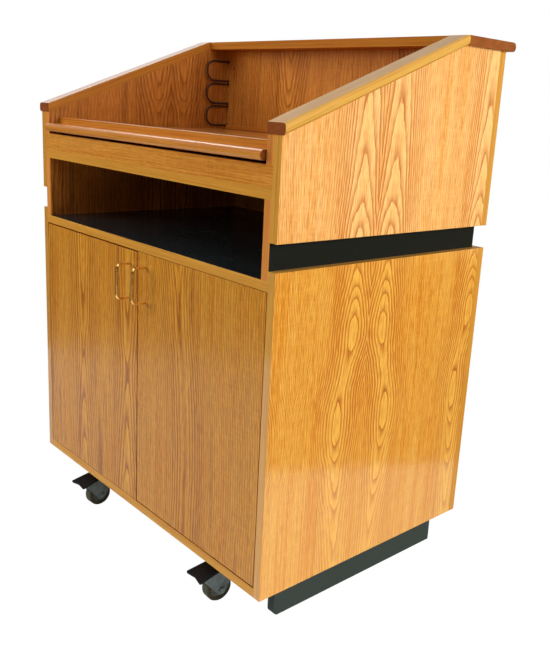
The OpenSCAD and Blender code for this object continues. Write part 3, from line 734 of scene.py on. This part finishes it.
def add_stage():
    """A floor with a white sheet on it, all plain white to the camera."""
    bpy.ops.mesh.primitive_plane_add(size=FLOOR_SIZE)
    floor = bpy.context.object
    floor.name = "floor"
    g = Finish("floor")
    x, y = g.axis(X), g.axis(Y)
    inside = []
    for (across, ahead), edge in (SHEET_LEFT, SHEET_RIGHT):
        place = g.add(g.times(x, across), g.times(y, ahead))
        inside.append(g.step(place, edge - SHEET_EDGE, edge + SHEET_EDGE))
    on_sheet = g.times(inside[0], g.minus(1.0, inside[1]))
    g.set(Base_Color=g.mix(on_sheet, FLOOR_TONE, SHEET_TONE), Roughness=0.9, Specular_IOR_Level=0.1)
    to_camera = g.node("ShaderNodeLightPath").outputs["Is Camera Ray"]
    glow = g.node("ShaderNodeEmission", WHITE).outputs[0]
    seen = g.node("ShaderNodeMixShader", to_camera, g.shader.outputs[0], glow).outputs[0]
    g.feed(g.tree.nodes["Material Output"].inputs["Surface"], seen)
    floor.data.materials.append(g.material)


def add_world():
    """A white surround to the camera, and a soft room that is darker low down to the lacquer."""
    world = bpy.data.worlds.new("surround")
    bpy.context.scene.world = world
    world.use_nodes = True
    g = Graph(world.node_tree)
    direction = g.coords.outputs["Generated"]
    rays = g.node("ShaderNodeLightPath").outputs
    mirrored = g.step(g.axis(Z, direction), *MIRRORED_RISE, MIRRORED_LOW, MIRRORED_HIGH)
    for glow, spans in (PALE_WALL, WINDOW):
        steps = [g.step(g.axis(axis, direction), start, end) for axis, start, end in spans]
        mirrored = g.add(mirrored, g.times(glow, *steps))
    strength = g.mix(rays["Is Glossy Ray"], ROOM_LIGHT, mirrored, "FLOAT")
    strength = g.mix(rays["Is Camera Ray"], strength, 1.0, "FLOAT")
    background = g.tree.nodes["Background"]
    g.feed(background.inputs["Color"], WHITE)
    g.feed(background.inputs["Strength"], strength)


def add_lamp(name, at, aim, size, power, colour=WHITE, mirrored=True):
    """A rectangular lamp that the camera doesn't see."""
    lamp = bpy.data.lights.new(name, "AREA")
    lamp.shape = "RECTANGLE"
    lamp.size, lamp.size_y = size
    lamp.energy = power
    lamp.color = colour
    obj = bpy.data.objects.new(name, lamp)
    obj.visible_camera = False
    obj.visible_glossy = mirrored
    obj.location = at
    obj.rotation_euler = (Vector(aim) - Vector(at)).to_track_quat("-Z", "Y").to_euler()
    bpy.context.collection.objects.link(obj)


def add_lamps():
    """A key on the right, a warm wall behind on the right, a lamp in front and one overhead."""
    add_lamp("key", at=(2.5, 0.2, 1.50), aim=(0.45, 0.1, 0.8), size=(1.4, 1.0), power=52.0)
    add_lamp("wall", at=(3.45, 3.45, 1.60), aim=(0.45, 0.0, 1.60), size=(5.0, 3.2), power=68.0,
             colour=(1.0, 0.86, 0.36))
    add_lamp("front", at=(-2.6, -3.2, 1.9), aim=(0.0, -0.3, 0.5), size=(2.4, 2.0), power=112.0,
             mirrored=False)
    add_lamp("ceiling", at=(0.2, -1.9, 3.3), aim=(0.0, -0.1, 0.8), size=(2.4, 1.6), power=27.0)


def add_camera():
    """The photograph's camera: its place, its turn, and its frame about the lens's centre."""
    data = bpy.data.cameras.new("photo_view")
    long_side = max(PHOTO_SIZE)
    data.sensor_width = SENSOR_MM
    data.lens = FOCAL_PX * SENSOR_MM / long_side
    data.shift_x = (PHOTO_SIZE[0] / 2 - PRINCIPAL_PX[0]) / long_side
    data.shift_y = (PRINCIPAL_PX[1] - PHOTO_SIZE[1] / 2) / long_side
    camera = bpy.data.objects.new("photo_view", data)
    right = CAMERA_RIGHT.normalized()
    back = right.cross(CAMERA_UP).normalized()
    turn = Matrix((right, back.cross(right), back)).transposed().to_4x4()
    camera.matrix_world = Matrix.Translation(CAMERA_AT) @ turn
    bpy.context.collection.objects.link(camera)
    bpy.context.scene.camera = camera


dress_panels()
dress_carcass()
dress_caps()
dress_worktop()
dress_doors()
dress_fittings()
dress_casters()
add_stage()
add_world()
add_lamps()
add_camera()
bpy.context.scene.view_settings.view_transform = "Standard"
